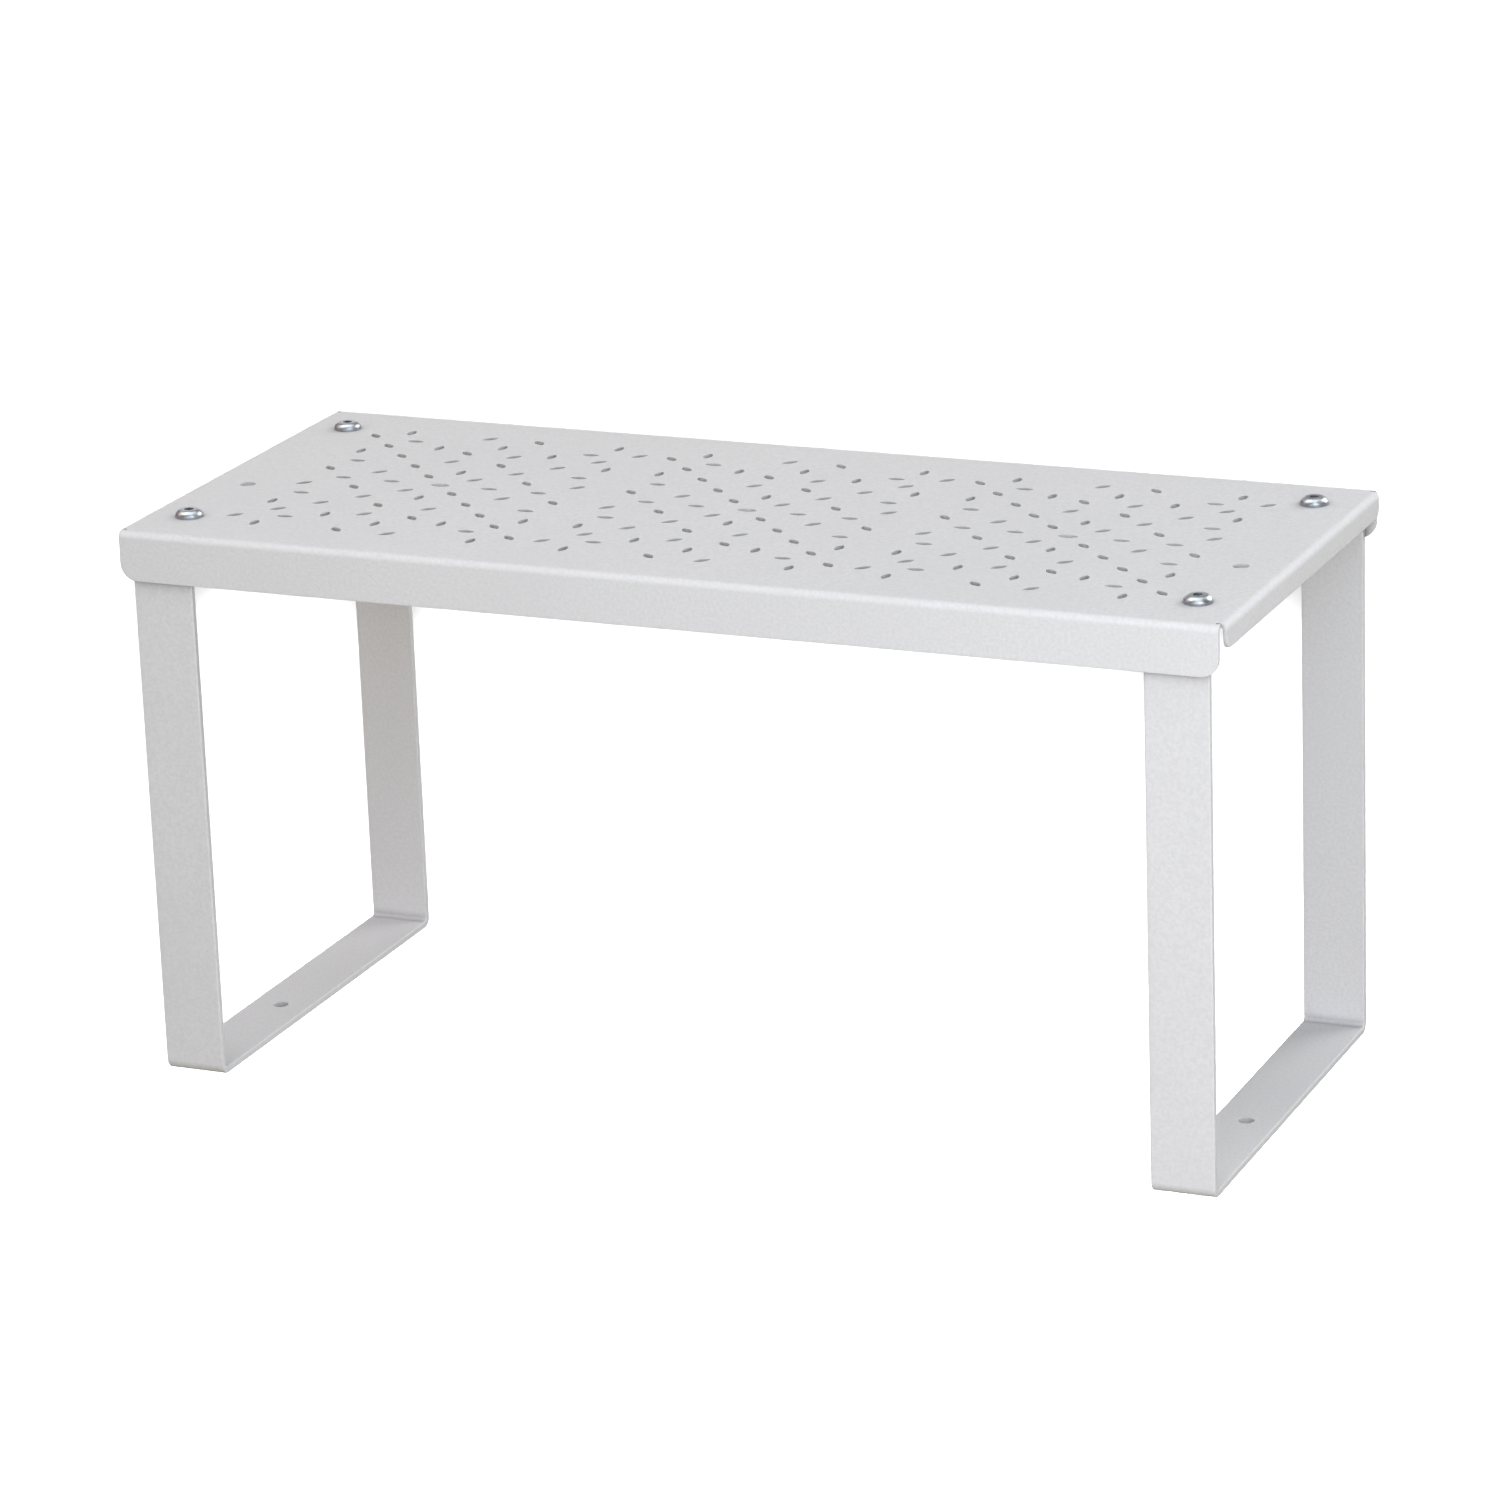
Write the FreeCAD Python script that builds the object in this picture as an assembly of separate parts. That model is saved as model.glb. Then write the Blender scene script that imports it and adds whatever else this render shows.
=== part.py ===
"""Tiered shelf riser: a perforated, bent sheet-steel shelf bolted to two flat-bar leg frames.

Millimetres. +X runs along the shelf, +Y to its back, +Z up. The origin is on the ground under the
middle of the shelf. Every piece is its own solid, written to parts/NODE.step.
"""

import FreeCAD, Part
import math
import os

from FreeCAD import Vector

# ---- driving dimensions ----
LENGTH = 320.0              # outside, along X
DEPTH = 135.0               # outside, along Y
HEIGHT = 158.0              # ground to the shelf's top face

SHEET = 1.0                 # shelf sheet thickness
SHEET_BEND = 2.0            # outside radius of the shelf's bends
LONG_FLANGE = 14.0          # front and back flange, from the top face down
SIDE_FLANGE = 7.0           # side flange, from the top face down
LONG_FLANGE_CORNER = 5.0    # round lower corners of the front and back flanges
SIDE_FLANGE_CORNER = 3.0
RELIEF = 0.8                # slit between a side flange and the bend beside it
FLANGE_END_INSET = 1.4      # front and back flanges stop this short of the side faces

BAR_WIDTH = 17.8            # flat bar of the leg frames
BAR = 2.0                   # its thickness
BAR_BEND = 3.0              # outside radius of the bar's bends
BAR_EDGE = 0.35             # rounded long edges of the bar
LEG_INSET = 4.4             # side face of the shelf to the outer edge of the bar
LEG_GAP = 0.5               # gap between a flange's inside and the upright behind it
TAB_PAST_SCREW = 9.0        # the top tab runs this far past its screw
TAB_CORNER = 4.0

SCREW_LINE = 48.5           # middle of the shelf to the screws, along Y
STACK_LINE = -14.0          # Y of the holes that bolt one riser on top of another
STACK_HOLE = 4.5            # their diameter
SCREW = 4.0                 # thread size
SCREW_HOLE = 4.5
SCREW_LENGTH = 8.0          # under the head
THREAD_PITCH = 0.7
THREAD_DEPTH = 0.35
HEAD = 7.7                  # button head diameter
HEAD_HEIGHT = 2.1
HEAD_RIM = 0.7              # straight rim under the dome
HEAD_FLAT = 4.4             # diameter of the flat on top
HEAD_BULGE = 0.35           # how far the dome's side stands out from a straight cone
SOCKET = 2.5                # hexagon socket across flats
SOCKET_DEPTH = 1.3
NUT_ACROSS = 7.0
NUT_HEIGHT = 3.2
NUT_BORE = 4.06
NUT_MOUTH = 4.6             # diameter of the lead-in at the bore's lower end
NUT_FACE = 6.6              # diameter of the round faces inside the corner chamfers
NUT_SLOPE = 30.0            # slope of those chamfers, in degrees

# ---- leaf-shaped perforations, in three rosettes ----
LEAF = 5.0                  # length
LEAF_WIDTH = 2.4
HEART_LEAF = 5.8            # the larger leaf in the middle of a rosette
HEART_WIDTH = 3.2
LEAF_TIP = 0.3              # radius of the rounded tips
ROSETTES = 3
ROSETTE_PITCH = 93.4
STEP_X = 8.65               # leaf grid within a rosette
STEP_Y = 9.0

# Directions a leaf points, in degrees from +X.
ACROSS, RISING, FORWARD, FALLING = 0.0, 45.0, 90.0, 135.0
# Leaves on a rosette's own axes: grid steps from its middle, and direction.
AXIS_LEAVES = [
    (1.75, 0.0, ACROSS),
    (3.5, 0.0, ACROSS),
    (0.0, 1.5, FORWARD),
    (0.0, 4.55, FORWARD),
]
# The rest of one quarter, off its diagonal. The other quarters mirror it.
QUARTER_LEAVES = [
    (2.65, 0.9, FALLING),
    (4.45, 0.9, RISING),
    (4.0, 1.95, ACROSS),
    (0.9, 2.6, FALLING),
    (4.45, 3.05, FORWARD),
    (0.85, 3.65, RISING),
    (2.05, 4.0, FORWARD),
    (3.2, 4.55, ACROSS),
    (3.8, 5.45, FORWARD),
    (0.9, 5.45, FALLING),
]
DIAGONAL_START = 0.83       # first leaf of a diagonal, in grid steps
DIAGONAL_LEAVES = 5

SAME = 1e-6                 # lengths closer than this are taken as equal

# ---- derived places ----
HALF_LENGTH = LENGTH / 2
HALF_DEPTH = DEPTH / 2
UNDERSIDE = HEIGHT - SHEET
SIDE_BEND_LINE = HALF_LENGTH - SHEET_BEND
LONG_BEND_LINE = HALF_DEPTH - SHEET_BEND
SIDE_FLANGE_END = LONG_BEND_LINE - RELIEF
LEG_LINE = HALF_LENGTH - LEG_INSET - BAR_WIDTH / 2     # middle of the shelf to the middle of a bar
UPRIGHT_FACE = HALF_DEPTH - SHEET - LEG_GAP
TAB_END = SCREW_LINE - TAB_PAST_SCREW
TAB_UNDERSIDE = UNDERSIDE - BAR


def extrude_section(edges, axis):
    """The solid swept by a closed section along a vector."""
    return Part.Face(Part.Wire(edges)).extrude(axis)


def polyline(points):
    """Straight edges through the points, in order."""
    return [Part.LineSegment(a, b).toShape() for a, b in zip(points, points[1:])]


def bend_section(half_width, flange, place):
    """Edges of one bend and its flange: quarter ring, then straight wall, down from the top face.

    half_width is where the flange's outer face stands; place(across, z) makes a point.
    """
    inner = SHEET_BEND - SHEET
    bend_line = half_width - SHEET_BEND
    centre_z = HEIGHT - SHEET_BEND
    diagonal = math.sqrt(0.5)
    outer_mid = place(bend_line + SHEET_BEND * diagonal, centre_z + SHEET_BEND * diagonal)
    inner_mid = place(bend_line + inner * diagonal, centre_z + inner * diagonal)
    outer_top = place(bend_line, HEIGHT)
    outer_side = place(half_width, centre_z)
    inner_top = place(bend_line, UNDERSIDE)
    inner_side = place(half_width - SHEET, centre_z)
    lower_out = place(half_width, HEIGHT - flange)
    lower_in = place(half_width - SHEET, HEIGHT - flange)
    outer_arc = Part.Arc(outer_top, outer_mid, outer_side).toShape()
    inner_arc = Part.Arc(inner_side, inner_mid, inner_top).toShape()
    walls = polyline([outer_side, lower_out, lower_in, inner_side])
    return [outer_arc] + walls + [inner_arc, Part.LineSegment(inner_top, outer_top).toShape()]


def round_corners(solid, radius, is_corner):
    """Rounds the edges for which is_corner(edge) holds."""
    picked = [edge for edge in solid.Edges if is_corner(edge)]
    return solid.makeFillet(radius, picked)


def through_sheet_low(edge, lowest):
    """True for a straight edge that crosses the sheet at the flange's lowest line."""
    box = edge.BoundBox
    return abs(edge.Length - SHEET) < SAME and box.ZMax < lowest + SAME


def long_flange(side):
    """Front (side -1) or back (side +1) flange with its bend."""
    run = 2 * (HALF_LENGTH - FLANGE_END_INSET)
    start = -run / 2
    section = bend_section(HALF_DEPTH, LONG_FLANGE, lambda y, z: Vector(start, side * y, z))
    solid = extrude_section(section, Vector(run, 0, 0))
    lowest = HEIGHT - LONG_FLANGE
    return round_corners(solid, LONG_FLANGE_CORNER, lambda edge: through_sheet_low(edge, lowest))


def side_flange(side):
    """Left (side -1) or right (side +1) flange with its bend."""
    run = 2 * SIDE_FLANGE_END
    start = -run / 2
    section = bend_section(HALF_LENGTH, SIDE_FLANGE, lambda x, z: Vector(side * x, start, z))
    solid = extrude_section(section, Vector(0, run, 0))
    lowest = HEIGHT - SIDE_FLANGE
    return round_corners(solid, SIDE_FLANGE_CORNER, lambda edge: through_sheet_low(edge, lowest))


def circle_wire(x, y, diameter):
    return Part.Wire(Part.Circle(Vector(x, y, 0), Vector(0, 0, 1), diameter / 2).toShape())


def leaf_wire(x, y, direction, length=LEAF, width=LEAF_WIDTH):
    """A leaf outline: two wide arcs joined by small round tips."""
    half_length = length / 2
    half_width = width / 2
    tip_centre = half_length - LEAF_TIP
    side_radius = (half_width**2 - LEAF_TIP**2 + tip_centre**2) / (2 * (half_width - LEAF_TIP))
    drop = side_radius - half_width
    lean = math.atan2(tip_centre, drop)
    touch_x = tip_centre + LEAF_TIP * math.sin(lean)
    touch_y = LEAF_TIP * math.cos(lean)
    upper = Part.Arc(Vector(-touch_x, touch_y), Vector(0, half_width), Vector(touch_x, touch_y))
    right = Part.Arc(Vector(touch_x, touch_y), Vector(half_length, 0), Vector(touch_x, -touch_y))
    lower = Part.Arc(Vector(touch_x, -touch_y), Vector(0, -half_width), Vector(-touch_x, -touch_y))
    left = Part.Arc(Vector(-touch_x, -touch_y), Vector(-half_length, 0), Vector(-touch_x, touch_y))
    wire = Part.Wire([arc.toShape() for arc in (upper, right, lower, left)])
    wire.rotate(Vector(0, 0, 0), Vector(0, 0, 1), direction)
    wire.translate(Vector(x, y, 0))
    return wire


def rosette_leaves():
    """(x, y, direction) of every ordinary leaf of one rosette, from its middle."""
    quarter = list(QUARTER_LEAVES)
    for n in range(DIAGONAL_LEAVES):
        quarter.append((DIAGONAL_START + n, DIAGONAL_START + n, RISING))
    mirrors = [(1, 1), (-1, 1), (1, -1), (-1, -1)]
    leaves = []
    for across, back, direction in quarter + AXIS_LEAVES:
        for sign_x, sign_y in mirrors:
            if (across == 0 and sign_x < 0) or (back == 0 and sign_y < 0):
                continue
            turned = direction if sign_x == sign_y else 180.0 - direction
            leaves.append((sign_x * across * STEP_X, sign_y * back * STEP_Y, turned))
    return leaves


def perforations():
    """Wires of every opening in the shelf's top, in the plane z = 0."""
    wires = []
    for n in range(ROSETTES):
        middle = (n - (ROSETTES - 1) / 2) * ROSETTE_PITCH
        wires.append(leaf_wire(middle, 0, ACROSS, HEART_LEAF, HEART_WIDTH))
        for x, y, direction in rosette_leaves():
            wires.append(leaf_wire(middle + x, y, direction))
    for side in (-1, 1):
        wires.append(circle_wire(side * LEG_LINE, STACK_LINE, STACK_HOLE))
        for end in (-1, 1):
            wires.append(circle_wire(side * LEG_LINE, end * SCREW_LINE, SCREW_HOLE))
    return wires


def top_outline():
    """The flat top between the bends, with its four corner reliefs cut in."""
    x, y = SIDE_BEND_LINE, LONG_BEND_LINE
    in_x, in_y = x - RELIEF, SIDE_FLANGE_END
    quarter = [(x, in_y), (in_x, in_y), (in_x, y)]
    points = []
    for sign_x, sign_y in [(1, 1), (-1, 1), (-1, -1), (1, -1)]:
        corner = [Vector(sign_x * px, sign_y * py, 0) for px, py in quarter]
        points += corner if sign_x == sign_y else corner[::-1]
    return Part.makePolygon(points + points[:1])


def shelf_tray():
    """Perforated top with four flanges, bent from one sheet."""
    blank = Part.makeFace([top_outline()] + perforations(), "Part::FaceMakerBullseye")
    top = blank.extrude(Vector(0, 0, SHEET))
    top.translate(Vector(0, 0, UNDERSIDE))
    flanges = [make(side) for make in (long_flange, side_flange) for side in (-1, 1)]
    return top.fuse(flanges).removeSplitter()


def bar_face(wall, top, foot, radius):
    """Edges along one face of the bent bar, in the plane x = 0: two tabs, uprights and the foot bar.

    wall is how far the upright's face stands from the middle, top and foot are the levels of the
    face on the tabs and on the foot bar, and radius is that of its bends.
    """
    near = radius * (1 - math.sqrt(0.5))
    edges = []
    for side in (-1, 1):
        tab_end = Vector(0, side * TAB_END, top)
        tab = Vector(0, side * (wall - radius), top)
        tab_bend = Vector(0, side * (wall - near), top - near)
        upper = Vector(0, side * wall, top - radius)
        lower = Vector(0, side * wall, foot + radius)
        foot_bend = Vector(0, side * (wall - near), foot + near)
        foot_start = Vector(0, side * (wall - radius), foot)
        edges += polyline([tab_end, tab])
        edges.append(Part.Arc(tab, tab_bend, upper).toShape())
        edges += polyline([upper, lower])
        edges.append(Part.Arc(lower, foot_bend, foot_start).toShape())
        edges += polyline([foot_start, Vector(0, 0, foot)])
    return edges


def bar_section():
    """The leg frame seen from its side: the closed outline that its bar sweeps across its width."""
    edges = bar_face(UPRIGHT_FACE, UNDERSIDE, 0, BAR_BEND)
    edges += bar_face(UPRIGHT_FACE - BAR, TAB_UNDERSIDE, BAR, BAR_BEND - BAR)
    for side in (-1, 1):
        y = side * TAB_END
        edges += polyline([Vector(0, y, UNDERSIDE), Vector(0, y, TAB_UNDERSIDE)])
    return Part.Wire(Part.__sortEdges__(edges))


def is_tab_corner(edge):
    """True for the short edges through the bar at a tab's free end."""
    box = edge.BoundBox
    upright = box.XLength < SAME and box.YLength < SAME
    return upright and abs(edge.Length - BAR) < SAME and abs(abs(box.YMin) - TAB_END) < SAME


def is_long_edge(edge):
    """True for the edges that run along the bar, and round its tabs' corners."""
    along = edge.BoundBox.XLength < SAME and edge.Length > BAR + SAME
    return along or abs(edge.Length - TAB_CORNER * math.pi / 2) < SAME


def leg_frame(side):
    """Flat bar bent to a square U with inward tabs, its screw holes and its stacking hole."""
    x = side * LEG_LINE
    solid = Part.Face(bar_section()).extrude(Vector(BAR_WIDTH, 0, 0)).removeSplitter()
    solid.translate(Vector(x - BAR_WIDTH / 2, 0, 0))
    solid = round_corners(solid, TAB_CORNER, is_tab_corner)
    solid = round_corners(solid, BAR_EDGE, is_long_edge)
    drill = Part.makeCylinder(STACK_HOLE / 2, 2 * BAR, Vector(x, STACK_LINE, -BAR / 2))
    for end in (-1, 1):
        base = Vector(x, end * SCREW_LINE, TAB_UNDERSIDE - BAR / 2)
        drill = drill.fuse(Part.makeCylinder(SCREW_HOLE / 2, 2 * BAR, base))
    return solid.cut(drill)


def hexagon(x, y, z, across):
    """A hexagonal face of the given width across flats."""
    corner = across / math.sqrt(3)
    turns = [math.radians(60 * n) for n in range(7)]
    points = [Vector(x + corner * math.cos(a), y + corner * math.sin(a), z) for a in turns]
    return Part.Face(Part.makePolygon(points))


def thread_profile():
    """Points down a screw's shank, from under the head to the middle of its tip."""
    crest = SCREW / 2
    root = crest - THREAD_DEPTH
    grooves = int(SCREW_LENGTH / THREAD_PITCH) - 1
    last = -SCREW_LENGTH + THREAD_PITCH
    first = last + (grooves - 1) * THREAD_PITCH
    points = [Vector(crest, 0, 0)]
    for n in range(grooves):
        z = first - n * THREAD_PITCH
        points.append(Vector(crest, 0, z))
        points.append(Vector(root, 0, z - THREAD_PITCH / 2))
    points[-1] = Vector(root, 0, -SCREW_LENGTH)
    points.append(Vector(0, 0, -SCREW_LENGTH))
    return points


def screw(side, end):
    """Button-head socket screw, standing on the shelf's top face with its thread down."""
    axis_top = Vector(0, 0, HEAD_HEIGHT)
    flat_edge = Vector(HEAD_FLAT / 2, 0, HEAD_HEIGHT)
    rim_top = Vector(HEAD / 2, 0, HEAD_RIM)
    rim_foot = Vector(HEAD / 2, 0, 0)
    slope = rim_top - flat_edge
    outward = Vector(-slope.z, 0, slope.x).normalize()
    dome = Part.Arc(flat_edge, (flat_edge + rim_top) * 0.5 + outward * HEAD_BULGE, rim_top)
    edges = polyline([axis_top, flat_edge]) + [dome.toShape()]
    edges += polyline([rim_top, rim_foot] + thread_profile() + [axis_top])
    solid = Part.Face(Part.Wire(edges)).revolve(Vector(0, 0, 0), Vector(0, 0, 1), 360)
    floor = HEAD_HEIGHT - SOCKET_DEPTH
    pit_depth = SOCKET / 4
    socket = hexagon(0, 0, floor, SOCKET).extrude(Vector(0, 0, 2 * SOCKET_DEPTH))
    pit = Part.makeCone(0, SOCKET / 2, pit_depth, Vector(0, 0, floor - pit_depth))
    solid = solid.cut(socket.fuse(pit))
    solid.translate(Vector(side * LEG_LINE, end * SCREW_LINE, HEIGHT))
    return solid


def nut(side, end):
    """Hexagon nut with chamfered corners, tight under the leg frame's tab."""
    x, y = side * LEG_LINE, end * SCREW_LINE
    base = TAB_UNDERSIDE - NUT_HEIGHT
    solid = hexagon(x, y, base, NUT_ACROSS).extrude(Vector(0, 0, NUT_HEIGHT))
    corner = NUT_ACROSS / math.sqrt(3)
    face = NUT_FACE / 2
    drop = (corner - face) * math.tan(math.radians(NUT_SLOPE))
    profile = polyline([
        Vector(0, 0, 0),
        Vector(face, 0, 0),
        Vector(corner, 0, drop),
        Vector(corner, 0, NUT_HEIGHT - drop),
        Vector(face, 0, NUT_HEIGHT),
        Vector(0, 0, NUT_HEIGHT),
        Vector(0, 0, 0),
    ])
    barrel = Part.Face(Part.Wire(profile)).revolve(Vector(0, 0, 0), Vector(0, 0, 1), 360)
    barrel.translate(Vector(x, y, base))
    solid = solid.common(barrel)
    bore = Part.makeCylinder(NUT_BORE / 2, NUT_HEIGHT, Vector(x, y, base))
    lead_in_depth = (NUT_MOUTH - NUT_BORE) / 2
    lead_in = Part.makeCone(NUT_MOUTH / 2, NUT_BORE / 2, lead_in_depth, Vector(x, y, base))
    return solid.cut(bore.fuse(lead_in))


def save(name, shape):
    """Writes one piece after checking that it is a single valid solid."""
    if len(shape.Solids) != 1 or not shape.Solids[0].isValid():
        raise ValueError(f"{name} isn't one valid solid")
    shape.Solids[0].exportStep(f"parts/{name}.step")
    box = shape.BoundBox
    print(f"{name}: {shape.Volume / 1000:.2f} cm3, {box.XLength:.2f} x {box.YLength:.2f} x {box.ZLength:.2f}")


def main():
    os.makedirs("parts", exist_ok=True)
    save("shelf_tray", shelf_tray())
    for side, hand in ((-1, "left"), (1, "right")):
        save(f"leg_frame_{hand}", leg_frame(side))
        for end, row in ((-1, "front"), (1, "back")):
            save(f"screw_{row}_{hand}", screw(side, end))
            save(f"nut_{row}_{hand}", nut(side, end))


main()
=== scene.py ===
"""Tiered shelf riser: procedural finishes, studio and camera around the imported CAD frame.

Metres, in the CAD frame: +X along the shelf, +Y to its back, +Z up. The CAD shapes stay as they are.
"""

import math

import bpy
from mathutils import Matrix, Vector

MM = 0.001

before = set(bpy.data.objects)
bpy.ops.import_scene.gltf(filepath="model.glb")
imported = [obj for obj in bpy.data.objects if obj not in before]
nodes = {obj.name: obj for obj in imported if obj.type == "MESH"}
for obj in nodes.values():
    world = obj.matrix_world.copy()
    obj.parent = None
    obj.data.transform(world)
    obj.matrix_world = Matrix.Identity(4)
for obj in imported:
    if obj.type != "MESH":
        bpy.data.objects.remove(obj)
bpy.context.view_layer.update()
scene = bpy.context.scene

# ---- camera: azimuth 0 looks from the front, 90 from the right; degrees and millimetres ----
CAMERA_AZIMUTH = 23.70
CAMERA_ELEVATION = 17.95
CAMERA_ROLL = -2.094
CAMERA_DISTANCE = 1636.1
CAMERA_AIM = (-1.73, 0.0, 88.77)
LENS = 141.57
SENSOR = 36.0
NEAREST_SEEN = 0.05         # metres
FARTHEST_SEEN = 50

# ---- light ----
WHITE = (1.0, 1.0, 1.0)
CREAM = (1.0, 0.975, 0.94)
WARM = (1.0, 0.87, 0.85)
BLUSH = (1.0, 0.62, 0.56)
SKY_BLUE = (0.30, 0.68, 1.0)
# Softboxes round the object: azimuth, elevation, distance and width in metres, brightness, colour.
SOFTBOXES = {
    "ceiling": (0, 88, 1.5, 1.4, 1.20, WHITE),
    "key": (35, 45, 1.1, 0.6, 0.80, WHITE),
    "front": (5, 8, 1.5, 0.8, 3.10, CREAM),
    "front_right": (45, 8, 0.9, 0.6, 3.85, WARM),
    "window": (38, 20, 0.9, 0.6, 1.75, SKY_BLUE),
    "back_right": (140, 25, 1.1, 0.6, 5.20, WHITE),
    "top_left": (-60, 60, 1.0, 0.6, 1.90, WHITE),
    "left": (-70, 30, 1.2, 0.7, 1.00, BLUSH),
    "back_left": (-150, 8, 1.2, 0.7, 0.70, WHITE),
}
# The room around the object, above and below the horizon, and half the height of the blend between them.
SKY_ABOVE = (0.20, 0.20, 0.20)
SKY_BELOW = (0.25, 0.24, 0.19)
HORIZON_BLEND = 0.2
BACKDROP = 1.3              # brightness of the room as the camera sees it past the floor

# ---- floor, and the lamp at the camera's place that whitens it ----
FLOOR_SIZE = 30.0
FLOOR_COLOUR = (0.50, 0.50, 0.50)
FLOOR_ROUGHNESS = 0.9
FLOOR_LAMP_POWER = 430.0
FLOOR_LAMP_RADIUS = 45 * MM

# ---- powder coat: colours, then sizes in millimetres ----
PAINT = (0.68, 0.68, 0.68)
PAINT_DEEP = (0.655, 0.655, 0.66)
PAINT_SPECK = (0.62, 0.62, 0.625)
PAINT_EDGE_HIGHLIGHT = (0.74, 0.74, 0.745)     # lighter on sharp edges: a painted highlight
PAINT_SHADE = (0.22, 0.22, 0.225)  # painted shade: darkens gaps, holes and the feet of screw heads
PAINT_SPECULAR = 0.35
PAINT_EDGE = 0.35           # radius that sharp edges seem to have
CLOUD = 45                  # blotches of thicker and thinner coat
PEEL = 2.4                  # orange peel
PEEL_DEPTH = 0.05
GRAIN = 0.9                 # fine texture
GRAIN_DEPTH = 0.06
SHADE_REACH = 3.0               # gaps narrower than this get painted shade
LEG_SHIFT = 0.7             # metres by which the legs' noise lies away from the shelf's

# ---- zinc plate: colours, then sizes in millimetres ----
ZINC_DULL = (0.62, 0.67, 0.72)
ZINC_BRIGHT = (0.78, 0.80, 0.81)
# painted shade and dark reflection on the upright flanks of the heads
ZINC_FLANK_SHADE = (0.36, 0.38, 0.41)
ZINC_EDGE = 0.15
MOTTLE = 1.3
SCRATCH = 0.5
SCRATCH_STRETCH = (1.0, 0.12, 1.0)
SCRATCH_DEPTH = 0.012
PITS = 0.18
PITS_DEPTH = 0.006


class Graph:
    """Short way to build one material's node tree."""

    def __init__(self, name):
        self.material = bpy.data.materials.new(name)
        self.material.use_nodes = True
        self.tree = self.material.node_tree
        self.shader = self.tree.nodes["Principled BSDF"]
        self.place = self.add("ShaderNodeTexCoord").outputs["Object"]

    def add(self, kind, **settings):
        node = self.tree.nodes.new(kind)
        for key, value in settings.items():
            setattr(node, key, value)
        return node

    def link(self, output, target):
        self.tree.links.new(output, target)

    def noise(self, size, detail=2.0, stretch=(1, 1, 1)):
        """Noise, 0 to 1, with blotches of about the given size in millimetres."""
        node = self.add("ShaderNodeTexNoise")
        node.inputs["Scale"].default_value = 1 / (size * MM)
        node.inputs["Detail"].default_value = detail
        if stretch == (1, 1, 1):
            self.link(self.place, node.inputs["Vector"])
        else:
            mapping = self.add("ShaderNodeMapping")
            mapping.inputs["Scale"].default_value = stretch
            self.link(self.place, mapping.inputs["Vector"])
            self.link(mapping.outputs["Vector"], node.inputs["Vector"])
        return node.outputs["Fac"]

    def ramp(self, value, low, high, to_low=0.0, to_high=1.0):
        """Carries low..high to to_low..to_high, and stops there."""
        node = self.add("ShaderNodeMapRange")
        self.link(value, node.inputs["Value"])
        node.inputs["From Min"].default_value = low
        node.inputs["From Max"].default_value = high
        node.inputs["To Min"].default_value = to_low
        node.inputs["To Max"].default_value = to_high
        return node.outputs["Result"]

    def blend(self, share, colour_a, colour_b):
        """Colour a where share is 0, colour b where it is 1. Each is an output or an RGB triple."""
        node = self.add("ShaderNodeMix", data_type="RGBA")
        self.link(share, node.inputs["Factor"])
        for name, colour in (("A", colour_a), ("B", colour_b)):
            socket = next(s for s in node.inputs if s.name == name and s.type == "RGBA")
            if isinstance(colour, tuple):
                socket.default_value = (*colour, 1)
            else:
                self.link(colour, socket)
        return next(s for s in node.outputs if s.type == "RGBA")

    def maths(self, operation, *values):
        """A sum on outputs and plain numbers."""
        node = self.add("ShaderNodeMath", operation=operation)
        for socket, value in zip(node.inputs, values):
            if isinstance(value, (int, float)):
                socket.default_value = value
            else:
                self.link(value, socket)
        return node.outputs["Value"]

    def bump(self, height, depth, normal):
        """Raises the surface by height times depth, in millimetres."""
        node = self.add("ShaderNodeBump")
        node.inputs["Strength"].default_value = 1.0
        node.inputs["Distance"].default_value = depth * MM
        self.link(height, node.inputs["Height"])
        self.link(normal, node.inputs["Normal"])
        return node.outputs["Normal"]

    def soft_edges(self, radius):
        """The normal of a surface whose sharp edges are rounded by a radius in millimetres."""
        node = self.add("ShaderNodeBevel", samples=8)
        node.inputs["Radius"].default_value = radius * MM
        return node.outputs["Normal"]

    def openness(self, reach):
        """1 on open faces, towards 0 in gaps narrower than the reach, in millimetres."""
        node = self.add("ShaderNodeAmbientOcclusion", samples=8)
        node.inputs["Distance"].default_value = reach * MM
        return node.outputs["AO"]

    def edge_mask(self, rounded):
        """1 on sharp edges, 0 on open faces: how far the rounded normal leans from the true one."""
        flat = self.add("ShaderNodeNewGeometry").outputs["True Normal"]
        node = self.add("ShaderNodeVectorMath", operation="DOT_PRODUCT")
        self.link(rounded, node.inputs[0])
        self.link(flat, node.inputs[1])
        return self.ramp(node.outputs["Value"], 1.0, 0.8)


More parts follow.
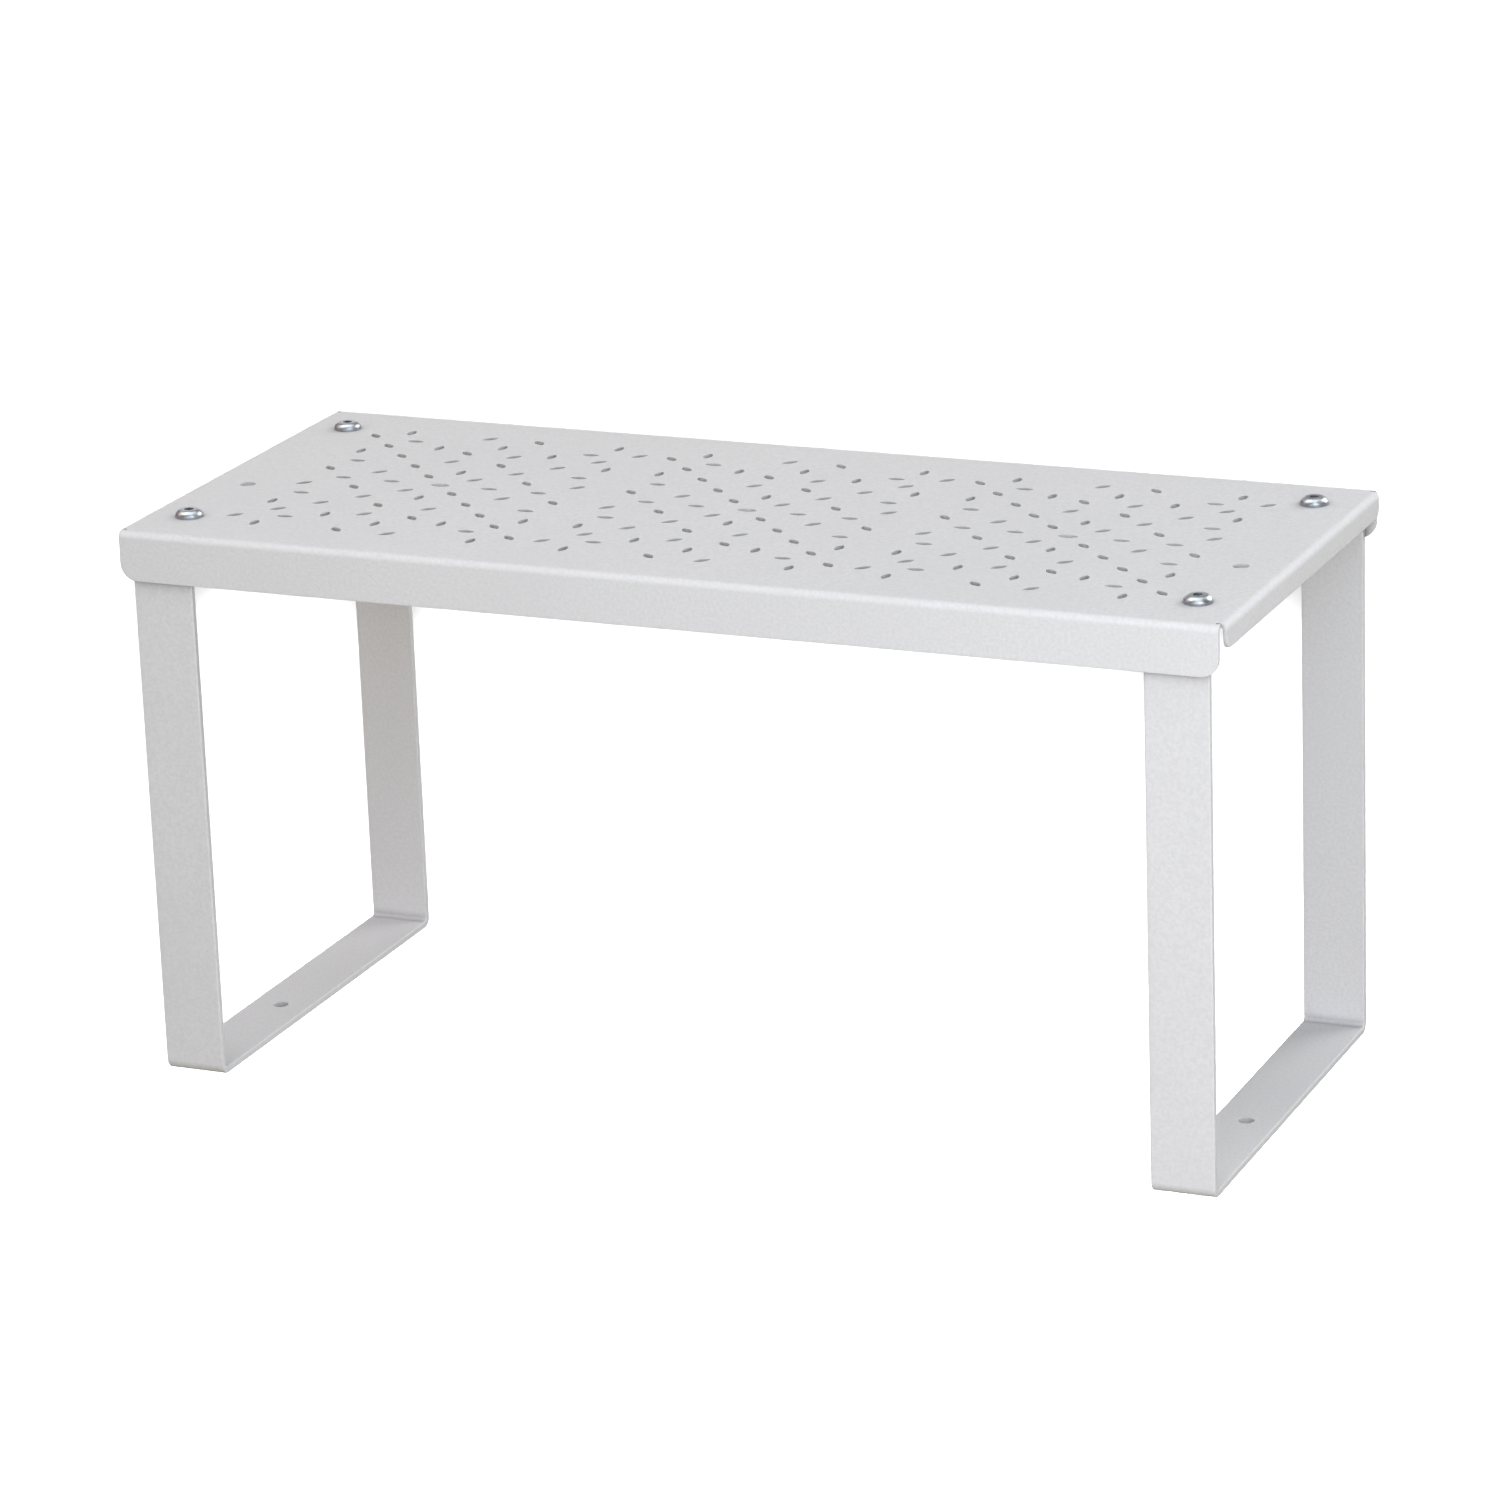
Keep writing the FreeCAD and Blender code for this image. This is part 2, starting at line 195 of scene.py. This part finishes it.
def paint_material(name, shift):
    """Fine-textured powder coat, with painted shade in gaps and a painted highlight on sharp edges.
    shift moves the noise, so that shelf and legs don't match.
    """
    g = Graph(name)
    moved = g.add("ShaderNodeMapping")
    moved.inputs["Location"].default_value = (shift, shift, shift)
    g.link(g.place, moved.inputs["Vector"])
    g.place = moved.outputs["Vector"]
    rounded = g.soft_edges(PAINT_EDGE)
    edge = g.edge_mask(rounded)
    cloud = g.noise(CLOUD, detail=3)
    peel = g.noise(PEEL, detail=1)
    grain = g.noise(GRAIN, detail=3)
    patches = g.blend(g.ramp(cloud, 0.3, 0.7), PAINT_DEEP, PAINT)
    speckled = g.blend(g.ramp(grain, 0.35, 0.65), patches, PAINT_SPECK)
    # Painted highlight: sharp edges are made lighter in colour, broken up by the orange peel.
    edge_highlight = g.maths("MULTIPLY", edge, g.ramp(peel, 0.35, 0.65, 0.4, 0.9))
    coat = g.blend(edge_highlight, speckled, PAINT_EDGE_HIGHLIGHT)
    # Painted shade: gaps and holes narrower than the reach darken by ambient occlusion.
    unshaded_share = g.ramp(g.openness(SHADE_REACH), 0.35, 0.97)
    g.link(g.blend(unshaded_share, PAINT_SHADE, coat), g.shader.inputs["Base Color"])
    rough = g.ramp(g.maths("ADD", cloud, g.maths("MULTIPLY", grain, 0.5)), 0.5, 1.0, 0.56, 0.70)
    g.link(g.maths("SUBTRACT", rough, g.maths("MULTIPLY", edge, 0.10)), g.shader.inputs["Roughness"])
    wavy = g.bump(peel, PEEL_DEPTH, rounded)
    g.link(g.bump(grain, GRAIN_DEPTH, wavy), g.shader.inputs["Normal"])
    g.shader.inputs["Specular IOR Level"].default_value = PAINT_SPECULAR
    return g.material


def zinc_material(name):
    """Bright zinc plate: bluish, faintly mottled, scratched, and darker on its upright flanks, a painted
    shade and dark reflection.
    """
    g = Graph(name)
    rounded = g.soft_edges(ZINC_EDGE)
    normal = g.add("ShaderNodeNewGeometry").outputs["True Normal"]
    lean = g.add("ShaderNodeSeparateXYZ")
    g.link(normal, lean.inputs["Vector"])
    # Painted shade and reflection: faces that stand upright are made darker.
    flank_shade = g.ramp(g.maths("ABSOLUTE", lean.outputs["Z"]), 0.70, 0.30)
    mottle = g.noise(MOTTLE, detail=4)
    scratch = g.noise(SCRATCH, detail=3, stretch=SCRATCH_STRETCH)
    pits = g.noise(PITS, detail=2)
    plate = g.blend(g.ramp(mottle, 0.35, 0.65), ZINC_DULL, ZINC_BRIGHT)
    g.link(g.blend(flank_shade, plate, ZINC_FLANK_SHADE), g.shader.inputs["Base Color"])
    g.shader.inputs["Metallic"].default_value = 1
    g.link(g.ramp(g.maths("ADD", mottle, scratch), 0.7, 1.3, 0.28, 0.46), g.shader.inputs["Roughness"])
    scored = g.bump(scratch, SCRATCH_DEPTH, rounded)
    g.link(g.bump(pits, PITS_DEPTH, scored), g.shader.inputs["Normal"])
    return g.material


def finish_nodes():
    """Gives each CAD piece its material; the shapes are not touched."""
    shelf_paint = paint_material("shelf_paint", 0.0)
    leg_paint = paint_material("leg_paint", LEG_SHIFT)
    zinc = zinc_material("zinc")
    for name, node in nodes.items():
        material = zinc
        if name == "shelf_tray":
            material = shelf_paint
        elif name.startswith("leg_frame"):
            material = leg_paint
        node.data.materials.clear()
        node.data.materials.append(material)


def direction(azimuth, elevation):
    """Unit vector towards a place seen from the object; azimuth 0 is the front, 90 the right."""
    a = math.radians(azimuth)
    e = math.radians(elevation)
    return Vector((math.sin(a) * math.cos(e), -math.cos(a) * math.cos(e), math.sin(e)))


def make_floor():
    """A pale floor that neither bounces light onto the object nor shades it."""
    half = FLOOR_SIZE / 2
    mesh = bpy.data.meshes.new("floor")
    corners = [(-half, -half, 0), (half, -half, 0), (half, half, 0), (-half, half, 0)]
    mesh.from_pydata(corners, [], [(0, 1, 2, 3)])
    floor = bpy.data.objects.new("floor", mesh)
    scene.collection.objects.link(floor)
    floor.visible_diffuse = False
    floor.visible_glossy = False
    floor.visible_shadow = False
    g = Graph("floor")
    g.shader.inputs["Base Color"].default_value = (*FLOOR_COLOUR, 1)
    g.shader.inputs["Roughness"].default_value = FLOOR_ROUGHNESS
    g.shader.inputs["Specular IOR Level"].default_value = 0
    mesh.materials.append(g.material)
    return floor


def make_softbox(name, azimuth, elevation, distance, width, brightness, colour):
    """A square lamp facing the middle of the object; brightness is what its face would show."""
    data = bpy.data.lights.new(name, "AREA")
    data.size = width
    data.energy = brightness * math.pi * width**2
    data.color = colour
    lamp = bpy.data.objects.new(name, data)
    middle = Vector(CAMERA_AIM) * MM
    towards = direction(azimuth, elevation)
    lamp.location = middle + towards * distance
    lamp.rotation_mode = "QUATERNION"
    lamp.rotation_quaternion = towards.to_track_quat("Z", "Y")
    lamp.visible_camera = False
    scene.collection.objects.link(lamp)


def make_floor_lamp(floor, place):
    """Lights the floor alone, from the camera's side, as strongly far away as near."""
    data = bpy.data.lights.new("floor_lamp", "POINT")
    data.energy = FLOOR_LAMP_POWER
    data.shadow_soft_size = FLOOR_LAMP_RADIUS
    data.use_nodes = True
    tree = data.node_tree
    falloff = tree.nodes.new("ShaderNodeLightFalloff")
    falloff.inputs["Strength"].default_value = 1.0
    tree.links.new(falloff.outputs["Constant"], tree.nodes["Emission"].inputs["Strength"])
    lamp = bpy.data.objects.new("floor_lamp", data)
    lamp.location = place
    lamp.visible_camera = False
    scene.collection.objects.link(lamp)
    lit = bpy.data.collections.new("lit_by_floor_lamp")
    lit.objects.link(floor)
    lamp.light_linking.receiver_collection = lit


def make_world():
    """A dim room, a little paler and warmer below, that the camera sees as white."""
    world = bpy.data.worlds.new("world")
    world.use_nodes = True
    tree = world.node_tree
    room = tree.nodes["Background"]
    coordinates = tree.nodes.new("ShaderNodeTexCoord")
    split = tree.nodes.new("ShaderNodeSeparateXYZ")
    height = tree.nodes.new("ShaderNodeMapRange")
    height.inputs["From Min"].default_value = -HORIZON_BLEND
    height.inputs["From Max"].default_value = HORIZON_BLEND
    mix = tree.nodes.new("ShaderNodeMixRGB")
    mix.inputs["Color1"].default_value = (*SKY_BELOW, 1)
    mix.inputs["Color2"].default_value = (*SKY_ABOVE, 1)
    tree.links.new(coordinates.outputs["Generated"], split.inputs["Vector"])
    tree.links.new(split.outputs["Z"], height.inputs["Value"])
    tree.links.new(height.outputs["Result"], mix.inputs["Fac"])
    tree.links.new(mix.outputs["Color"], room.inputs["Color"])
    backdrop = tree.nodes.new("ShaderNodeBackground")
    backdrop.inputs["Color"].default_value = (*WHITE, 1)
    backdrop.inputs["Strength"].default_value = BACKDROP
    seen = tree.nodes.new("ShaderNodeLightPath")
    choose = tree.nodes.new("ShaderNodeMixShader")
    tree.links.new(seen.outputs["Is Camera Ray"], choose.inputs["Fac"])
    tree.links.new(room.outputs["Background"], choose.inputs[1])
    tree.links.new(backdrop.outputs["Background"], choose.inputs[2])
    tree.links.new(choose.outputs["Shader"], tree.nodes["World Output"].inputs["Surface"])
    scene.world = world


def make_camera():
    """Makes the scene's camera and returns its place."""
    data = bpy.data.cameras.new("camera")
    data.sensor_width = SENSOR
    data.lens = LENS
    data.clip_start = NEAREST_SEEN
    data.clip_end = FARTHEST_SEEN
    camera = bpy.data.objects.new("camera", data)
    towards = direction(CAMERA_AZIMUTH, CAMERA_ELEVATION)
    level = towards.to_track_quat("Z", "Y").to_matrix().to_4x4()
    roll = Matrix.Rotation(math.radians(CAMERA_ROLL), 4, "Z")
    aim = Vector(CAMERA_AIM) * MM
    place = aim + towards * CAMERA_DISTANCE * MM
    camera.matrix_world = Matrix.Translation(place) @ level @ roll
    scene.collection.objects.link(camera)
    scene.camera = camera
    return place


finish_nodes()
camera_place = make_camera()
studio_floor = make_floor()
for box_name, settings in SOFTBOXES.items():
    make_softbox(box_name, *settings)
make_floor_lamp(studio_floor, camera_place)
make_world()
scene.view_settings.view_transform = "Standard"
